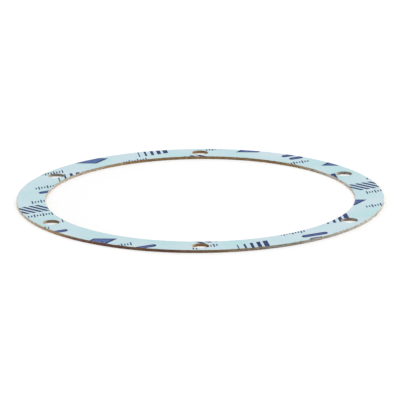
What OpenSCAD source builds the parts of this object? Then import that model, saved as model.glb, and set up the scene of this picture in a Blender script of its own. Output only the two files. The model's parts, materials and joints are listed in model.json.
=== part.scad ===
// Cover gasket: one flat ring, die-cut from compressed fibre sheet.
// It seals a round cover to its housing. The cover's bolts pass through a circle of holes that runs
// along the middle of the sealing band.
// Sizes are in millimetres. The ring's underside lies on z = 0, and its axis is +Z.

/* [Ring] */
// Diameter of the bore, the opening that the ring seals round
bore_d = 168.5; // [120:0.5:240]
// Width of the sealing band, from the bore to the outer edge
band_w = 15.75; // [13:0.25:24]
// Thickness of the fibre sheet
sheet_t = 1.6; // [0.5:0.1:3.2]

/* [Bolt holes] */
// Diameter of each hole, with clearance for an 8 mm bolt
hole_d = 9; // [4:0.5:11]
// Number of holes, evenly spaced round the ring
hole_count = 6; // [3:1:12]
// Angle of the first hole, from +X towards +Y
first_hole_angle = 30; // [0:1:90]

/* [Hidden] */

outer_d = bore_d + 2 * band_w;
bolt_circle_d = bore_d + band_w;
hole_pitch_angle = 360 / hole_count;
sheet_colour = "#c6e0e4";

// Fineness of the round edges: the longest step in degrees, and in millimetres
$fa = 2;
$fs = 0.4;

// The sealing band seen from above
module band_outline() {
  difference() {
    circle(d = outer_d);
    circle(d = bore_d);
  }
}

// The bolt holes seen from above, on the middle line of the band
module bolt_hole_outlines() {
  for (i = [0 : hole_count - 1])
    rotate(first_hole_angle + i * hole_pitch_angle)
      translate([bolt_circle_d / 2, 0])
        circle(d = hole_d);
}

// The gasket, with every edge cut square through the sheet
module gasket() {
  color(sheet_colour)
    linear_extrude(height = sheet_t)
      difference() {
        band_outline();
        bolt_hole_outlines();
      }
}

gasket();
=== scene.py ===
import json
import math

import bmesh
import bpy
from mathutils import Matrix, Vector, noise


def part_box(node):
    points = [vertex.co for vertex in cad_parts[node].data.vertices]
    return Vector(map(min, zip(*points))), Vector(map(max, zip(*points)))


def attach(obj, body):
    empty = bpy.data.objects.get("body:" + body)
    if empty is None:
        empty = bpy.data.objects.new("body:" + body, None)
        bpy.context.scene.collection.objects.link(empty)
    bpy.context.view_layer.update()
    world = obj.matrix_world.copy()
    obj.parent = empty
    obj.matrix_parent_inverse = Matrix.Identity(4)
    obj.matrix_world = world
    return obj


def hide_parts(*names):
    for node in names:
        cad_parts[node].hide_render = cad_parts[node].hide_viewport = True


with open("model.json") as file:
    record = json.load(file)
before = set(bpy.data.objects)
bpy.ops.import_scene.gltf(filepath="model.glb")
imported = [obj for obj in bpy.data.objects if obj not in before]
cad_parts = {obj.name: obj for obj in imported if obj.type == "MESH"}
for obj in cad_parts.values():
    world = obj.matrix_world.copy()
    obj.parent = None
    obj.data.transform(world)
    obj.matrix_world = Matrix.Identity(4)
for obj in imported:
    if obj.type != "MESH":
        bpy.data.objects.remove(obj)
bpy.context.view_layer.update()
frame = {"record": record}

# A cover gasket: one flat ring, die-cut from pale blue fibre sheet with a dark blue print on its top face.
# Lengths are in metres, or in millimetres where a name ends in _MM or _mm. Angles are in degrees.
MM = 0.001

# The ring, from the frame
mounts = {mount["name"]: mount for mount in frame["record"]["mounts"]}
low_corner, high_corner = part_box("gasket")
sheet_t = high_corner.z - low_corner.z
bore_r = mounts["bore"]["dims"]["r_mm"] * MM
hole_r = mounts["bolt_holes"]["dims"]["hole_r_mm"] * MM
hole_count = mounts["bolt_holes"]["dims"]["count"]
bolt_circle_r = mounts["bolt_holes"]["dims"]["pcd_mm"] * MM / 2
band_w = 2 * (bolt_circle_r - bore_r)
outer_r = bore_r + band_w
hole_pitch = 360 / hole_count
first_hole = min(
    math.degrees(math.atan2(mount["pos_m"][1], mount["pos_m"][0])) % 360
    for name, mount in mounts.items()
    if name.startswith("bolt_hole_")
)

# The mesh: cells of the face along one bolt pitch and across the band, the window of cells that makes way for
# the bolt hole, and the cuts between that window and the hole
PITCH_CELLS, BAND_CELLS = 240, 10
WINDOW_CELLS, WINDOW_BAND_CELLS = 28, 8
HOLE_LOOPS = 3

# Vertices within MERGE of each other become one. A rim is an edge that lies within LEVEL of a face of the
# sheet and is bent by more than RIM_BEND.
MERGE, LEVEL = 0.001 * MM, 0.01 * MM
RIM_BEND = 60

# The cut edge: the die rolls the top rim over and leaves a crisper rim below. The wall between is torn in
# streaks that follow the sheet's layers, more inwards than outwards.
TOP_ROLL, LOW_ROLL = 0.14 * MM, 0.06 * MM
ROLL_STEPS = 3
WALL_LAYERS = 8
TORN = 0.05 * MM
TORN_INWARDS = 0.5
TORN_LENGTH, TORN_HEIGHT = 0.9 * MM, 0.25 * MM

# How upright a face's normal is tells where the face belongs: over FACE_SHARE to the top or the underside,
# under WALL_SHARE to a cut edge with its rolled rims, and over FLAT_SHARE to the flat part of a face. A
# normal that leans less than LEAST_LEAN gives no way outwards.
FACE_SHARE, WALL_SHARE, FLAT_SHARE = 0.5, 0.9, 0.999
LEAST_LEAN = 0.01

# The coat is worn off the very rim of the cut edges, and chipped back further here and there. Each vertex
# carries its distance from the nearest edge.
RIM_WEAR_MM, CHIP_MM, CHIP_FADE_MM = 0.14, 0.7, 0.1
EDGE_REACH = "edge_reach_mm"

# The flat map that the colours are baked through: strips half a bolt pitch long, in columns, with a gap
# between them. The walls are stretched upwards on it, because they are thin.
BAKE_MAP = "OFBake"
MAP_COLUMNS = 3
MAP_GAP_MM = 0.5
WALL_STRETCH = 1.5
strip_angle = hole_pitch / 2
strip_count = 2 * hole_count
strip_mm = math.radians(strip_angle) * bolt_circle_r / MM

# The print: slanted rows of marks, each row stepped along from the one below it, with a line of short dashes
# between the rows. Sheet that lies in no mark has the depth BARE_MM.
PRINT_TURN = 28
ROW_PITCH_MM, ROW_STEP_MM = 24.0, 14.0
MARK_PITCH_MM, MARK_HEIGHT_MM = 38.0, 13.0
MARK_LEAN = math.tan(math.radians(20))
HATCH_LENGTH_MM, HATCH_PITCH_MM, HATCH_BAR_MM = 18.0, 3.9, 2.4
LOZENGE_LENGTH_MM = 22.0
BARS_LENGTH_MM, BARS_PITCH_MM = 20.0, 4.1
THIN_BAR_MM, THICK_BAR_MM = 0.6, 3.2
PILL_MM, PILL_STEP_MM = 4.4, 3.3
LONG_PILL_MM, SHORT_PILL_MM = 16.0, 9.0
DASH_MM, DASH_PITCH_MM = 0.95, 1.75
SHORT_DASH_MM, LONG_DASH_MM = 3.0, 5.4
LONG_DASH_EVERY = 3
DASH_GROUP_MM = 9 * DASH_PITCH_MM
DASH_GROUP_PITCH_MM = 30 * DASH_PITCH_MM
BARE_MM = -1.0

# Marks and dashes take turns. Each whole turn has half a turn added, so that rounding can't tip it over, and
# is then told from the others within TURN_SLACK. A row of marks starts ROW_TURNS after the row below it.
ROW_TURNS = 2
HALF_TURN, TURN_SLACK = 0.5, 0.4

# The ink: how blurred and ragged its edges are, and how far in from them the solid rim ends and the paler
# middle begins
INK_EDGE_MM, INK_RAGGED_MM = 0.12, 0.08
INK_RIM_MM, INK_MIDDLE_MM = 1.1, 1.87

# Finishes, and how fully the ink and the worn edges cover the coat
COAT_GLOSS, CORE_GLOSS = 0.06, 0.2
COAT_ROUGH, INK_ROUGH, CORE_ROUGH = 0.85, 0.75, 0.9
INK_COVER, WORN_COVER = 0.96, 0.85

# Sizes of the sheet's patterns along X, Y and Z. The fibres under the coat, and the bundles and layers of the
# core, are drawn several times thicker than real ones so that they show. Each colour of bundle is taken from
# another part of the noise, and the specks are a share of the layers' size.
CLOUD_MM = (28, 28, 28)
FIBRE_MM = (4.0, 0.4, 0.4)
FIBRE_TURNS = (20, 80, 140)
FLECK_MM = (0.45, 0.45, 0.45)
GRAIN_MM = (0.6, 0.6, 0.6)
GRAIN_DEPTH, GRAIN_STRENGTH = 0.04 * MM, 0.35
CHIPPED_MM = (1.5, 1.5, 1.5)
RAGGED_MM = (0.6, 0.6, 0.6)
MOTTLE_MM = (1.6, 1.6, 1.6)
DRIFT_MM = (14, 14, 14)
BUNDLE_MM = (2.4, 2.4, 0.26)
BUNDLES_APART = 20
LAYER_MM = (1.4, 1.4, 0.35)
LAYER_DEPTH, LAYER_STRENGTH = 0.1 * MM, 0.5
SPECK_SHARE = 1 / 2.3
SPECK_MM = tuple(size * SPECK_SHARE for size in LAYER_MM)

# Where the core's colour changes: it is ochre in a stretch through the middle and a lighter grey past it on
# both sides, which is painted light on the side walls that face the low lamps. The front-left edge, which
# faces away from the right lamp, has a painted shade of dark red-brown.
LIT_TURN, LIT_SHIFT_MM = 14, 13.0
OCHRE_REACH_MM, LIT_REACH_MM = 44.0, 73.0
SHADE_TURN, SHADE_STRAY_MM = -66, 8.0
SHADE_REACH_MM, SHADE_END_MM = -97.0, -84.0

# Colours
COAT_GREEN, COAT_GREY = "#afd2d5", "#c5d5dc"
COAT_FIBRE, COAT_FLECK = "#d9e8e9", "#8aa9b3"
INK_SOLID, INK_THIN = "#1c2560", "#5971a9"
WORN_FIBRE = "#93836f"
# The core's grey is painted light on the side walls, and its red-brown is painted shade on the front-left
# edge
CORE_OCHRE, CORE_GREY_LIT, CORE_RED_SHADE = "#967f56", "#969c96", "#5c3833"
BUNDLE_COLOURS = ("#94763f", "#784a39", "#452f25")
# The dark brown of the layer gaps is painted shade between the core's layers
PAINTED_LAYER_SHADE, CORE_SPECK = "#3d2c22", "#b3a592"

# The sockets and settings of a Mix node that blends colours. A Map Range node's sockets, by number, are the
# value, the two ends that it comes from and the two ends that it is turned into.
MIX_UNDER, MIX_OVER = 6, 7
COLOUR_MIX = {"out": 2, "data_type": "RGBA"}


def linear(hex_colour):
    """An sRGB colour such as #c6e0e4, as linear red, green, blue and an alpha of 1."""
    shares = [int(hex_colour[i : i + 2], 16) / 255 for i in (1, 3, 5)]
    return [s / 12.92 if s <= 0.04045 else ((s + 0.055) / 1.055) ** 2.4 for s in shares] + [1.0]


def add(tree, kind, inputs=None, out=0, **settings):
    """Adds a shader node and gives one of its outputs. An input takes another node's output or a value."""
    made = tree.nodes.new("ShaderNode" + kind)
    for name, value in settings.items():
        setattr(made, name, value)
    for name, value in (inputs or {}).items():
        if isinstance(value, bpy.types.NodeSocket):
            tree.links.new(value, made.inputs[name])
        else:
            made.inputs[name].default_value = value
    return made.outputs[out]


def start_material(name, **shader_values):
    """A new material with its tree and shader, and the place on the piece in millimetres."""
    material = bpy.data.materials.new(name)
    material.use_nodes = True
    tree = material.node_tree
    shader = tree.nodes["Principled BSDF"]
    for socket, value in shader_values.items():
        shader.inputs[socket.replace("_", " ")].default_value = value
    place = add(tree, "TexCoord", out="Object")
    place_mm = add(tree, "Mapping", {"Vector": place, "Scale": (1 / MM, 1 / MM, 1 / MM)})
    return material, tree, shader, place_mm


def patches(tree, place_mm, size_mm, shows=(0.0, 1.0), gives=(0.0, 1.0), detail=2.0, apart=0.0):
    """Soft random patches. The part of the noise that shows is turned into the range that it gives."""
    scale = [1 / size for size in size_mm]
    sized = add(tree, "Mapping", {"Vector": place_mm, "Scale": scale, "Location": (apart, 0, 0)})
    cloud = add(tree, "TexNoise", {"Vector": sized, "Scale": 1.0, "Detail": detail})
    return add(tree, "MapRange", {0: cloud, 1: shows[0], 2: shows[1], 3: gives[0], 4: gives[1]})


def step_off(tree, length, pitch):
    """Steps a length off in pitches. Gives the place seen from the nearest step, and that step's number."""
    place = add(tree, "Math", {0: length, 1: pitch / 2, 2: -pitch / 2}, operation="WRAP")
    middle = add(tree, "Math", {0: length, 1: place}, operation="SUBTRACT")
    number = add(tree, "Math", {0: middle, 1: pitch}, operation="DIVIDE")
    return place, add(tree, "Math", {0: number}, operation="ROUND")


def strip(tree, place, half_width):
    """How deep a place lies inside a strip. Like every depth of a mark, it is below zero outside."""
    off_middle = add(tree, "Math", {0: place}, operation="ABSOLUTE")
    return add(tree, "Math", {0: half_width, 1: off_middle}, operation="SUBTRACT")


def shared(tree, first, *others):
    """The depth inside all of several shapes at once."""
    for other in others:
        first = add(tree, "Math", {0: first, 1: other}, operation="MINIMUM")
    return first


def hatched_block(tree, along, across):
    """A block of even bars that lean back."""
    lean = add(tree, "Math", {0: across, 1: MARK_LEAN, 2: along}, operation="MULTIPLY_ADD")
    in_bar = add(tree, "Math", {0: lean, 1: HATCH_PITCH_MM / 2, 2: -HATCH_PITCH_MM / 2}, operation="WRAP")
    bars = strip(tree, in_bar, HATCH_BAR_MM / 2)
    ends = strip(tree, lean, HATCH_LENGTH_MM / 2)
    sides = strip(tree, across, MARK_HEIGHT_MM / 2)
    return shared(tree, bars, ends, sides)


def lozenge(tree, along, across):
    """A lozenge that lies along its row."""
    half_l, half_h = LOZENGE_LENGTH_MM / 2, MARK_HEIGHT_MM / 2
    middle_depth = half_l * half_h / math.hypot(half_l, half_h)
    depth = middle_depth
    for place, half in ((along, half_l), (across, half_h)):
        off_middle = add(tree, "Math", {0: place}, operation="ABSOLUTE")
        fall = -middle_depth / half
        depth = add(tree, "Math", {0: off_middle, 1: fall, 2: depth}, operation="MULTIPLY_ADD")
    return depth


def growing_bars(tree, along, across):
    """A block of bars that lean over, each thicker than the one before it."""
    lean = add(tree, "Math", {0: across, 1: -MARK_LEAN, 2: along}, operation="MULTIPLY_ADD")
    half_l = BARS_LENGTH_MM / 2
    growth = {0: lean, 1: -half_l, 2: half_l, 3: THIN_BAR_MM / 2, 4: THICK_BAR_MM / 2}
    half_bar = add(tree, "MapRange", growth)
    in_bar = add(tree, "Math", {0: lean, 1: BARS_PITCH_MM / 2, 2: -BARS_PITCH_MM / 2}, operation="WRAP")
    bars = strip(tree, in_bar, half_bar)
    ends = strip(tree, lean, half_l)
    sides = strip(tree, across, MARK_HEIGHT_MM / 2)
    return shared(tree, bars, ends, sides)


def two_pills(tree, along, across):
    """A long pill above a short one."""
    lean = add(tree, "Math", {0: across, 1: -MARK_LEAN, 2: along}, operation="MULTIPLY_ADD")
    off_middle = add(tree, "Math", {0: lean}, operation="ABSOLUTE")
    depth = BARE_MM
    for side, length in ((1, LONG_PILL_MM), (-1, SHORT_PILL_MM)):
        past_end = add(tree, "Math", {0: off_middle, 1: (length - PILL_MM) / 2}, operation="SUBTRACT")
        past_end = add(tree, "Math", {0: past_end, 1: 0.0}, operation="MAXIMUM")
        off_spine = add(tree, "Math", {0: across, 1: side * PILL_STEP_MM}, operation="SUBTRACT")
        from_spine = add(tree, "CombineXYZ", {"X": past_end, "Y": off_spine})
        from_spine = add(tree, "VectorMath", {0: from_spine}, out="Value", operation="LENGTH")
        pill = add(tree, "Math", {0: PILL_MM / 2, 1: from_spine}, operation="SUBTRACT")
        depth = add(tree, "Math", {0: pill, 1: depth}, operation="MAXIMUM")
    return depth


def rows_of_marks(tree, along, across):
    """Four kinds of mark, which take turns along a row."""
    in_row, row = step_off(tree, across, ROW_PITCH_MM)
    stepped = add(tree, "Math", {0: row, 1: ROW_STEP_MM, 2: along}, operation="MULTIPLY_ADD")
    in_mark, number = step_off(tree, stepped, MARK_PITCH_MM)
    marks = [make(tree, in_mark, in_row) for make in (hatched_block, lozenge, growing_bars, two_pills)]

    turn = add(tree, "Math", {0: row, 1: ROW_TURNS, 2: number}, operation="MULTIPLY_ADD")
    turn = add(tree, "Math", {0: turn, 1: HALF_TURN}, operation="ADD")
    turn = add(tree, "Math", {0: turn, 1: len(marks)}, operation="FLOORED_MODULO")
    depth = BARE_MM
    for place, mark in enumerate(marks):
        is_turn = add(tree, "Math", {0: turn, 1: place + HALF_TURN, 2: TURN_SLACK}, operation="COMPARE")
        depth = add(tree, "Mix", {"Factor": is_turn, "A": depth, "B": mark}, data_type="FLOAT")
    return depth


def lines_of_dashes(tree, along, across):
    """Short dashes in groups, half-way between the rows of marks. Every third dash is longer."""
    between = add(tree, "Math", {0: across, 1: ROW_PITCH_MM / 2}, operation="ADD")
    in_line, line = step_off(tree, between, ROW_PITCH_MM)
    lean = add(tree, "Math", {0: in_line, 1: -MARK_LEAN, 2: along}, operation="MULTIPLY_ADD")
    in_dash, number = step_off(tree, lean, DASH_PITCH_MM)
    dashes = strip(tree, in_dash, DASH_MM / 2)

    turn = add(tree, "Math", {0: number, 1: HALF_TURN}, operation="ADD")
    turn = add(tree, "Math", {0: turn, 1: LONG_DASH_EVERY}, operation="FLOORED_MODULO")
    is_long = add(tree, "Math", {0: turn, 1: HALF_TURN, 2: TURN_SLACK}, operation="COMPARE")
    half_dash = add(tree, "MapRange", {0: is_long, 3: SHORT_DASH_MM / 2, 4: LONG_DASH_MM / 2})
    ends = strip(tree, in_line, half_dash)

    # A dash is in a group or out of it as a whole, by the place of its middle
    middle = add(tree, "Math", {0: lean, 1: in_dash}, operation="SUBTRACT")
    middle = add(tree, "Math", {0: line, 1: -ROW_STEP_MM, 2: middle}, operation="MULTIPLY_ADD")
    half_pitch = DASH_GROUP_PITCH_MM / 2
    in_group = add(tree, "Math", {0: middle, 1: half_pitch, 2: -half_pitch}, operation="WRAP")
    groups = strip(tree, in_group, DASH_GROUP_MM / 2)
    return shared(tree, dashes, ends, groups)


def mark_depth(tree, place_mm):
    """How deep a point of the sheet lies inside a printed mark, in millimetres."""
    turned = add(tree, "Mapping", {"Vector": place_mm, "Rotation": (0, 0, math.radians(-PRINT_TURN))})
    along = add(tree, "SeparateXYZ", {0: turned}, out="X")
    across = add(tree, "SeparateXYZ", {0: turned}, out="Y")
    marks = rows_of_marks(tree, along, across)
    dashes = lines_of_dashes(tree, along, across)
    return add(tree, "Math", {0: marks, 1: dashes}, operation="MAXIMUM")


def coat_colour(tree, place_mm):
    """The coat: broad pale clouds from the pressing, with short fibres and small flecks just under it."""
    clouds = patches(tree, place_mm, CLOUD_MM, shows=(0.3, 0.7), detail=3.0)
    colours = {MIX_UNDER: linear(COAT_GREEN), MIX_OVER: linear(COAT_GREY)}
    colour = add(tree, "Mix", {"Factor": clouds, **colours}, **COLOUR_MIX)
    for turn in FIBRE_TURNS:
        laid = add(tree, "Mapping", {"Vector": place_mm, "Rotation": (0, 0, math.radians(turn))})
        fibres = patches(tree, laid, FIBRE_MM, shows=(0.6, 0.8), gives=(0.0, 0.24))
        colours = {MIX_UNDER: colour, MIX_OVER: linear(COAT_FIBRE)}
        colour = add(tree, "Mix", {"Factor": fibres, **colours}, **COLOUR_MIX)
    flecks = patches(tree, place_mm, FLECK_MM, shows=(0.68, 0.76), gives=(0.0, 0.45), detail=1.0)
    colours = {MIX_UNDER: colour, MIX_OVER: linear(COAT_FLECK)}
    return add(tree, "Mix", {"Factor": flecks, **colours}, **COLOUR_MIX)


def wear_edges(tree, place_mm, colour):
    """Shows the brown fibre where the coat is worn off the rims and chipped along the cut edges."""
    reach = add(tree, "Attribute", out="Fac", attribute_name=EDGE_REACH)
    bite = patches(tree, place_mm, CHIPPED_MM, shows=(0.5, 0.75), gives=(RIM_WEAR_MM, CHIP_MM), detail=3.0)
    past = add(tree, "Math", {0: bite, 1: reach}, operation="SUBTRACT")
    worn = add(tree, "MapRange", {0: past, 1: 0.0, 2: CHIP_FADE_MM, 3: 0.0, 4: WORN_COVER})
    colours = {MIX_UNDER: colour, MIX_OVER: linear(WORN_FIBRE)}
    return add(tree, "Mix", {"Factor": worn, **colours}, **COLOUR_MIX)


def finish_coat(tree, shader, place_mm, colour):
    """Gives the shader the coat's colour with worn edges, and the grain of the pressed fibres under it."""
    tree.links.new(wear_edges(tree, place_mm, colour), shader.inputs["Base Color"])
    grain = patches(tree, place_mm, GRAIN_MM, detail=4.0)
    bump = add(tree, "Bump", {"Height": grain, "Strength": GRAIN_STRENGTH, "Distance": GRAIN_DEPTH})
    tree.links.new(bump, shader.inputs["Normal"])


def printed_sheet():
    """Compressed fibre sheet, coated and printed: matt pale blue with dark blue ink, which the printing plate
    squeezed out to a solid rim round each mark, so the middle of a wide mark is paler and mottled. The ink is
    a little glossier than the coat, and both are chipped to the brown fibre along the cut edges."""
    material, tree, shader, place_mm = start_material(
        "coated_fibre_sheet_printed", Specular_IOR_Level=COAT_GLOSS
    )
    ragged = patches(tree, place_mm, RAGGED_MM, shows=(0.3, 0.7), gives=(-INK_RAGGED_MM, INK_RAGGED_MM))
    depth = add(tree, "Math", {0: mark_depth(tree, place_mm), 1: ragged}, operation="ADD")
    inked = add(tree, "MapRange", {0: depth, 1: 0.0, 2: INK_EDGE_MM, 3: 0.0, 4: INK_COVER})
    within = add(tree, "MapRange", {0: depth, 1: INK_RIM_MM, 2: INK_MIDDLE_MM})
    mottle = patches(tree, place_mm, MOTTLE_MM, shows=(0.35, 0.65), gives=(0.4, 1.0), detail=3.0)
    paleness = add(tree, "Math", {0: within, 1: mottle}, operation="MULTIPLY")
    colours = {MIX_UNDER: linear(INK_SOLID), MIX_OVER: linear(INK_THIN)}
    ink = add(tree, "Mix", {"Factor": paleness, **colours}, **COLOUR_MIX)
    colours = {MIX_UNDER: coat_colour(tree, place_mm), MIX_OVER: ink}
    colour = add(tree, "Mix", {"Factor": inked, **colours}, **COLOUR_MIX)
    roughness = add(tree, "MapRange", {0: inked, 3: COAT_ROUGH, 4: INK_ROUGH})
    tree.links.new(roughness, shader.inputs["Roughness"])
    finish_coat(tree, shader, place_mm, colour)
    return material


def plain_sheet():
    """The same coated fibre sheet where it has no print: matt pale blue, chipped along the cut edges."""
    material, tree, shader, place_mm = start_material(
        "coated_fibre_sheet_plain", Roughness=COAT_ROUGH, Specular_IOR_Level=COAT_GLOSS
    )
    finish_coat(tree, shader, place_mm, coat_colour(tree, place_mm))
    return material


def core_colour_and_painted_light(tree, place_mm):
    """The core's ochre, turned grey by painted light on both sides and red-brown by painted shade at the
    front left.
    """
    # Painted light: the sides, where the walls face the low lamps, are turned a lighter grey
    turn = {"Rotation": (0, 0, math.radians(LIT_TURN)), "Location": (LIT_SHIFT_MM, 0, 0)}
    sideways = add(tree, "Mapping", {"Vector": place_mm, **turn})
    sideways = add(tree, "SeparateXYZ", {0: sideways}, out="X")
    sideways = add(tree, "Math", {0: sideways}, operation="ABSOLUTE")
    lit_greyness = add(tree, "MapRange", {0: sideways, 1: OCHRE_REACH_MM, 2: LIT_REACH_MM})
    colours = {MIX_UNDER: linear(CORE_OCHRE), MIX_OVER: linear(CORE_GREY_LIT)}
    colour = add(tree, "Mix", {"Factor": lit_greyness, **colours}, **COLOUR_MIX)

    # Painted shade: the front-left edge, which faces away from the right lamp, is turned dark red-brown
    forward = add(tree, "Mapping", {"Vector": place_mm, "Rotation": (0, 0, math.radians(SHADE_TURN))})
    forward = add(tree, "SeparateXYZ", {0: forward}, out="X")
    stray = patches(tree, place_mm, DRIFT_MM, gives=(-SHADE_STRAY_MM, SHADE_STRAY_MM))
    forward = add(tree, "Math", {0: forward, 1: stray}, operation="ADD")
    past_painted_shade = add(tree, "MapRange", {0: forward, 1: SHADE_REACH_MM, 2: SHADE_END_MM})
    colours = {MIX_UNDER: linear(CORE_RED_SHADE), MIX_OVER: colour}
    return add(tree, "Mix", {"Factor": past_painted_shade, **colours}, **COLOUR_MIX)


def cut_sheet():
    """The core of the sheet where the die cut it: matt torn fibre in thin layers, ochre with painted light in
    grey and painted shade in red-brown, with streaks of other fibres, painted shade between the layers and
    pale specks."""
    material, tree, shader, place_mm = start_material(
        "fibre_sheet_die_cut", Roughness=CORE_ROUGH, Specular_IOR_Level=CORE_GLOSS
    )
    colour = core_colour_and_painted_light(tree, place_mm)
    for number, bundle_colour in enumerate(BUNDLE_COLOURS):
        shown = {"shows": (0.5, 0.64), "gives": (0.0, 0.7)}
        bundles = patches(tree, place_mm, BUNDLE_MM, detail=4.0, apart=BUNDLES_APART * number, **shown)
        colours = {MIX_UNDER: colour, MIX_OVER: linear(bundle_colour)}
        colour = add(tree, "Mix", {"Factor": bundles, **colours}, **COLOUR_MIX)
    layers = patches(tree, place_mm, LAYER_MM, detail=3.0)
    # Painted shade: dark brown laid in bands between the core's layers
    layer_shade = add(tree, "MapRange", {0: layers, 1: 0.4, 2: 0.75, 3: 0.0, 4: 0.75})
    colours = {MIX_UNDER: colour, MIX_OVER: linear(PAINTED_LAYER_SHADE)}
    colour = add(tree, "Mix", {"Factor": layer_shade, **colours}, **COLOUR_MIX)
    specks = patches(tree, place_mm, SPECK_MM, shows=(0.58, 0.75), gives=(0.0, 0.6))
    colours = {MIX_UNDER: colour, MIX_OVER: linear(CORE_SPECK)}
    colour = add(tree, "Mix", {"Factor": specks, **colours}, **COLOUR_MIX)
    tree.links.new(colour, shader.inputs["Base Color"])
    bump = add(tree, "Bump", {"Height": layers, "Strength": LAYER_STRENGTH, "Distance": LAYER_DEPTH})
    tree.links.new(bump, shader.inputs["Normal"])
    return material


def face_with_hole(bm):
    """One bolt pitch of the face, flat, with its bolt hole on +X."""
    # A square grid from -1 to 1, with a window of cells cut out of its middle. The window's rim lies inside
    # the grid's own border.
    bmesh.ops.create_grid(bm, x_segments=PITCH_CELLS, y_segments=BAND_CELLS, size=1.0)
    window_l, window_h = WINDOW_CELLS / PITCH_CELLS, WINDOW_BAND_CELLS / BAND_CELLS
    window = []
    for face in bm.faces:
        middle = face.calc_center_median()
        if abs(middle.x) < window_l and abs(middle.y) < window_h:
            window.append(face)
    bmesh.ops.delete(bm, geom=window, context="FACES")
    inside = 0.99
    rim = [e for e in bm.edges if e.is_boundary and all(max(map(abs, v.co.xy)) < inside for v in e.verts)]

    # The grid is bent round to one pitch of the band
    for v in bm.verts:
        angle = v.co.x * math.radians(hole_pitch / 2)
        reach = bolt_circle_r + v.co.y * band_w / 2
        v.co = Vector((reach * math.cos(angle), reach * math.sin(angle), 0.0))

    # The window's rim is drawn in to the round hole
    web = bmesh.ops.extrude_edge_only(bm, edges=rim)["geom"]
    hole = [v for v in web if isinstance(v, bmesh.types.BMVert)]
    step = math.tau / len(hole)
    hole.sort(key=lambda v: (math.atan2(v.co.y, v.co.x - bolt_circle_r) + step / 2) % math.tau)
    for number, v in enumerate(hole):
        turn = number * step
        v.co = Vector((bolt_circle_r + hole_r * math.cos(turn), hole_r * math.sin(turn), 0.0))
    spokes = [e for v in hole for e in v.link_edges if not e.is_boundary]
    bmesh.ops.subdivide_edges(bm, edges=spokes, cuts=HOLE_LOOPS, use_grid_fill=True)


def gasket_mesh():
    """The ring: its face, spun round from one bolt pitch, given the sheet's thickness and rolled rims."""
    bm = bmesh.new()
    face_with_hole(bm)
    bmesh.ops.rotate(bm, verts=bm.verts, matrix=Matrix.Rotation(math.radians(first_hole), 3, "Z"))
    bmesh.ops.spin(
        bm,
        geom=bm.verts[:] + bm.edges[:] + bm.faces[:],
        axis=(0, 0, 1),
        angle=math.radians(360 - hole_pitch),
        steps=hole_count - 1,
        use_duplicate=True,
    )
    bmesh.ops.remove_doubles(bm, verts=bm.verts, dist=MERGE)
    raised = bmesh.ops.extrude_face_region(bm, geom=bm.faces[:])
    raised = [v for v in raised["geom"] if isinstance(v, bmesh.types.BMVert)]
    bmesh.ops.translate(bm, verts=raised, vec=(0, 0, sheet_t))
    bmesh.ops.recalc_face_normals(bm, faces=bm.faces)
    for height, roll in ((sheet_t, TOP_ROLL), (0.0, LOW_ROLL)):
        rims = []
        for edge in bm.edges:
            level = all(abs(v.co.z - height) < LEVEL for v in edge.verts)
            if level and edge.calc_face_angle(0.0) > math.radians(RIM_BEND):
                rims.append(edge)
        bmesh.ops.bevel(
            bm, geom=rims, offset=roll, segments=ROLL_STEPS, profile=0.5, affect="EDGES", material=-1
        )
    uprights = [e for e in bm.edges if abs(e.verts[0].co.z - e.verts[1].co.z) > sheet_t / 2]
    bmesh.ops.subdivide_edges(bm, edges=uprights, cuts=WALL_LAYERS - 1, use_grid_fill=True)
    bm.normal_update()
    return bm


def tear_walls(bm):
    """Pushes the cut walls in and out a little, in streaks that run along the sheet's layers."""
    walls = {v for f in bm.faces if abs(f.normal.z) < WALL_SHARE for v in f.verts}
    pushes = {}
    for v in walls:
        outwards = Vector((v.normal.x, v.normal.y, 0.0))
        if outwards.length > LEAST_LEAN:
            streak = Vector((v.co.x / TORN_LENGTH, v.co.y / TORN_LENGTH, v.co.z / TORN_HEIGHT))
            pushes[v] = outwards.normalized() * (noise.noise(streak) - TORN_INWARDS) * TORN
    for v, push in pushes.items():
        v.co += push
    bm.normal_update()


def from_nearest_hole(place):
    """A point's place as seen from the middle of its bolt hole: outwards, and round the ring."""
    angle = math.degrees(math.atan2(place.y, place.x)) - first_hole
    turned = math.radians((angle + hole_pitch / 2) % hole_pitch - hole_pitch / 2)
    reach = place.xy.length
    return Vector((reach * math.cos(turned) - bolt_circle_r, reach * math.sin(turned)))


def measure_edges(bm):
    """Stores how far each vertex lies from the nearest cut edge, in millimetres."""
    edge_reach = bm.verts.layers.float.new(EDGE_REACH)
    for v in bm.verts:
        from_axis = v.co.xy.length
        from_hole = from_nearest_hole(v.co).length
        v[edge_reach] = min(outer_r - from_axis, from_axis - bore_r, from_hole - hole_r) / MM


def surface_of(face):
    """Names the surface of the ring that a face of the mesh belongs to."""
    middle = face.calc_center_median()
    if abs(face.normal.z) > FACE_SHARE:
        return "top" if face.normal.z > 0 else "underside"
    if from_nearest_hole(middle).length < hole_r + TOP_ROLL:
        return "hole wall"
    return "outer wall" if middle.xy.length > bolt_circle_r else "bore wall"


def plan_map():
    """The flat map's side, and the foot and height of each surface's first row of strips, in millimetres."""
    across = band_w / MM
    through = sheet_t / MM * WALL_STRETCH
    top_of_rows = 0.0
    rows = {}
    for surface, count, tall in (
        ("top", strip_count, across),
        ("underside", strip_count, across),
        ("outer wall", strip_count, through),
        ("bore wall", strip_count, through),
        ("hole wall", hole_count, through),
    ):
        rows[surface] = top_of_rows, tall + MAP_GAP_MM
        top_of_rows += math.ceil(count / MAP_COLUMNS) * (tall + MAP_GAP_MM)
    return max(top_of_rows, MAP_COLUMNS * (strip_mm + MAP_GAP_MM)), rows


def nearest_turn(angle, about):
    """An angle in radians, moved by whole turns to lie nearest another."""
    return (angle - about + math.pi) % math.tau - math.pi + about


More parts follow.
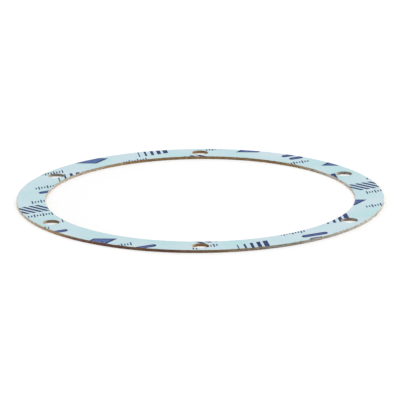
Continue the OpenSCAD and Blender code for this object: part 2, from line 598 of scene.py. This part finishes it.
def lay_flat(bm):
    """Maps the ring flat for its baked colours: every surface in strips, and a bolt hole's wall as one."""
    map_side, rows = plan_map()
    flat_map = bm.loops.layers.uv.new(BAKE_MAP)
    for face in bm.faces:
        surface = surface_of(face)
        is_hole = surface == "hole wall"
        pitch, count = (hole_pitch, hole_count) if is_hole else (strip_angle, strip_count)
        middle = face.calc_center_median()
        angle = math.degrees(math.atan2(middle.y, middle.x)) - first_hole
        number = math.floor(angle / pitch + 0.5) % count
        hole_place = from_nearest_hole(middle)
        hole_turn = math.atan2(hole_place.y, hole_place.x) % math.tau
        strip_turn = math.radians(first_hole + number * pitch)
        first_foot, row_mm = rows[surface]
        start = number % MAP_COLUMNS * (strip_mm + MAP_GAP_MM) + MAP_GAP_MM / 2
        foot = first_foot + number // MAP_COLUMNS * row_mm + MAP_GAP_MM / 2
        for loop in face.loops:
            place = loop.vert.co
            if is_hole:
                from_hole = from_nearest_hole(place)
                along = nearest_turn(math.atan2(from_hole.y, from_hole.x), hole_turn) * hole_r / MM
            else:
                turn = nearest_turn(math.atan2(place.y, place.x) - strip_turn, 0.0)
                along = turn * bolt_circle_r / MM + strip_mm / 2
            up = place.z / MM * WALL_STRETCH if "wall" in surface else (place.xy.length - bore_r) / MM
            loop[flat_map].uv = ((start + along) / map_side, (foot + up) / map_side)


def make_gasket():
    """The finished ring with its three materials: printed on top, plain below, and cut fibre on the walls."""
    bm = gasket_mesh()
    tear_walls(bm)
    measure_edges(bm)
    lay_flat(bm)
    for face in bm.faces:
        face.material_index = {"top": 0, "underside": 1}.get(surface_of(face), 2)
        face.smooth = abs(face.normal.z) < FLAT_SHARE
    mesh = bpy.data.meshes.new("gasket_ring")
    bm.to_mesh(mesh)
    bm.free()
    for material in (printed_sheet(), plain_sheet(), cut_sheet()):
        mesh.materials.append(material)
    piece = bpy.data.objects.new("gasket_ring", mesh)
    bpy.context.scene.collection.objects.link(piece)
    return piece


gasket = make_gasket()
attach(gasket, "root")
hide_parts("gasket")

# Stage: a white floor in an even white surround, under a weak soft lamp. Two low lamps light the cut walls
# that face them, and the right one throws no shadow, so it reaches into the bolt holes too. The camera sees
# the ring RING_WIDTH_PX wide in a picture FRAME_PX wide.
FLOOR_SIDE = 8.0
FLOOR_WHITE = "#f7f7f7"
SURROUND_STRENGTH = 0.88
CAMERA_FAR = 2.5
CAMERA_AIM = Vector((-0.15 * MM, 0.0, 0.2 * MM))
CAMERA_RAISED = 16.0
CAMERA_ROLL = -0.4
RING_WIDTH_PX = 367.3
FRAME_PX = 400


def make_floor():
    """A flat board of matt white paint."""
    bm = bmesh.new()
    bmesh.ops.create_grid(bm, x_segments=1, y_segments=1, size=FLOOR_SIDE / 2)
    mesh = bpy.data.meshes.new("floor")
    bm.to_mesh(mesh)
    bm.free()
    material = bpy.data.materials.new("white_painted_board")
    material.use_nodes = True
    shader = material.node_tree.nodes["Principled BSDF"]
    shader.inputs["Base Color"].default_value = linear(FLOOR_WHITE)
    shader.inputs["Roughness"].default_value = 0.9
    shader.inputs["Specular IOR Level"].default_value = 0.1
    mesh.materials.append(material)
    floor = bpy.data.objects.new("floor", mesh)
    bpy.context.scene.collection.objects.link(floor)


def make_lamp(name, turn, raised, far, width, power, shadow):
    """A round softbox that looks at the ring, turned from +X towards +Y and raised above the floor."""
    data = bpy.data.lights.new(name, "AREA")
    data.shape = "DISK"
    data.size = width
    data.energy = power
    data.use_shadow = shadow
    lamp = bpy.data.objects.new(name, data)
    towards = Matrix.Rotation(math.radians(turn), 3, "Z") @ Matrix.Rotation(math.radians(-raised), 3, "Y")
    lamp.location = towards @ Vector((far, 0.0, 0.0))
    lamp.rotation_euler = (-lamp.location).to_track_quat("-Z", "Y").to_euler()
    bpy.context.scene.collection.objects.link(lamp)


def make_camera():
    """A camera in front of the ring, raised above the floor and rolled a little."""
    data = bpy.data.cameras.new("camera")
    data.sensor_width = 36.0
    data.lens = data.sensor_width * (RING_WIDTH_PX / FRAME_PX) * CAMERA_FAR / (2 * outer_r)
    camera = bpy.data.objects.new("camera", data)
    raised = math.radians(CAMERA_RAISED)
    back = Vector((0.0, -math.cos(raised), math.sin(raised)))
    turn = (-back).to_track_quat("-Z", "Y").to_matrix() @ Matrix.Rotation(math.radians(CAMERA_ROLL), 3, "Z")
    camera.matrix_world = Matrix.Translation(CAMERA_AIM + back * CAMERA_FAR) @ turn.to_4x4()
    bpy.context.scene.collection.objects.link(camera)
    bpy.context.scene.camera = camera


def make_surround():
    """Even white light from all round."""
    world = bpy.data.worlds.new("surround")
    world.use_nodes = True
    sky = world.node_tree.nodes["Background"]
    sky.inputs["Color"].default_value = (1.0, 1.0, 1.0, 1.0)
    sky.inputs["Strength"].default_value = SURROUND_STRENGTH
    bpy.context.scene.world = world


make_floor()
make_lamp("top_softbox", turn=-60, raised=65, far=3.0, width=2.0, power=8, shadow=True)
make_lamp("right_softbox", turn=23, raised=3, far=3.6, width=1.0, power=260, shadow=False)
make_lamp("left_softbox", turn=150, raised=2, far=3.6, width=0.2, power=190, shadow=True)
make_surround()
make_camera()
bpy.context.scene.view_settings.view_transform = "Standard"
